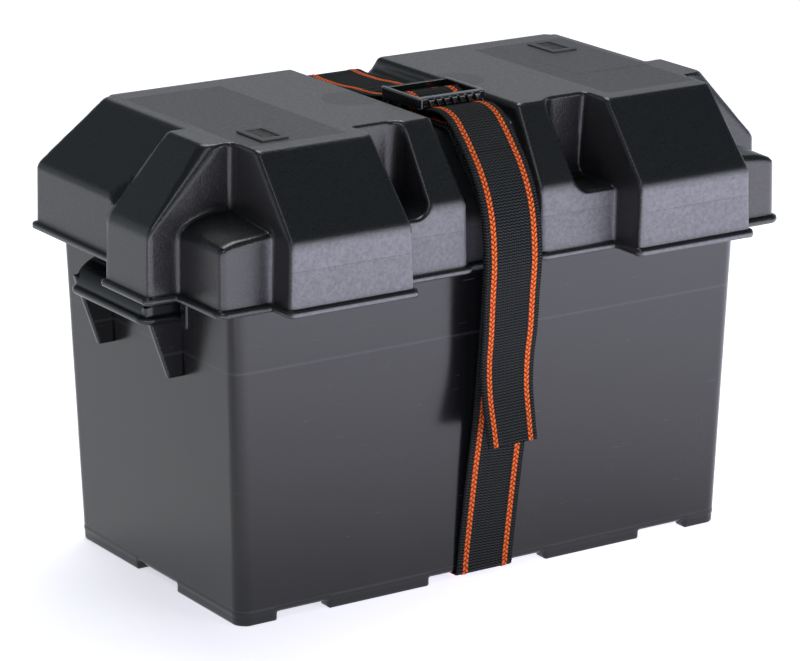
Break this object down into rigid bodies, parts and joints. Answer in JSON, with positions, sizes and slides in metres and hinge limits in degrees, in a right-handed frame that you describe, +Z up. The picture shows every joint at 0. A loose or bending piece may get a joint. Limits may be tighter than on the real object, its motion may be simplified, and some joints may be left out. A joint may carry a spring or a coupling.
{
  "type": "battery box",
  "caption": "Tapered plastic battery tub with side handles, a lift-off faceted lid with stepped skirts, and a webbing hold-down strap with a toothed buckle.",
  "frame": {"origin": "centre of the object's footprint at the undersides of the feet", "axes": "+X along the box's long side, -Y towards the buckle side, +Z up"},
  "size_m": [0.412, 0.2386, 0.2717],
  "materials": {
    "tub_plastic": "black polypropylene, semi-gloss with faint flow marks",
    "lid_plastic": "black polypropylene, fine grained",
    "vent_plastic": "black moulded plastic",
    "buckle_gloss": "glossy black acetal",
    "webbing": "black woven polypropylene webbing with two orange stripes",
    "thread": "black sewing thread"
  },
  "bodies": {
    "box": {"tub": "tub_plastic", "strap_under": "webbing", "strap_front_run": "webbing", "strap_back_run": "webbing"},
    "lid": {"lid": "lid_plastic", "vent_left": "vent_plastic", "vent_right": "vent_plastic", "strap_front_upper": "webbing", "strap_top_run": "webbing", "strap_anchor_fold": "webbing", "strap_tail_upper": "webbing", "anchor_stitching": "thread"},
    "buckle": {"buckle": "buckle_gloss", "strap_wrap": "webbing"},
    "tail": {"strap_tail": "webbing"}
  },
  "joints": [
    {"name": "lid_lift", "type": "slide", "parent": "box", "child": "lid", "axis": [0, 0, 1], "range_m": [0, 0.12], "deforming": ["strap_front_run", "strap_back_run"]},
    {"name": "buckle_tilt", "type": "hinge", "parent": "lid", "child": "buckle", "pos_m": [0, -0.00265, 0.2664], "axis": [-1, 0, 0], "range_deg": [0, 25]},
    {"name": "strap_tail_swing", "type": "hinge", "parent": "lid", "child": "tail", "pos_m": [0, -0.0954, 0.22385], "axis": [-1, 0, 0], "range_deg": [0, 85]}
  ]
}
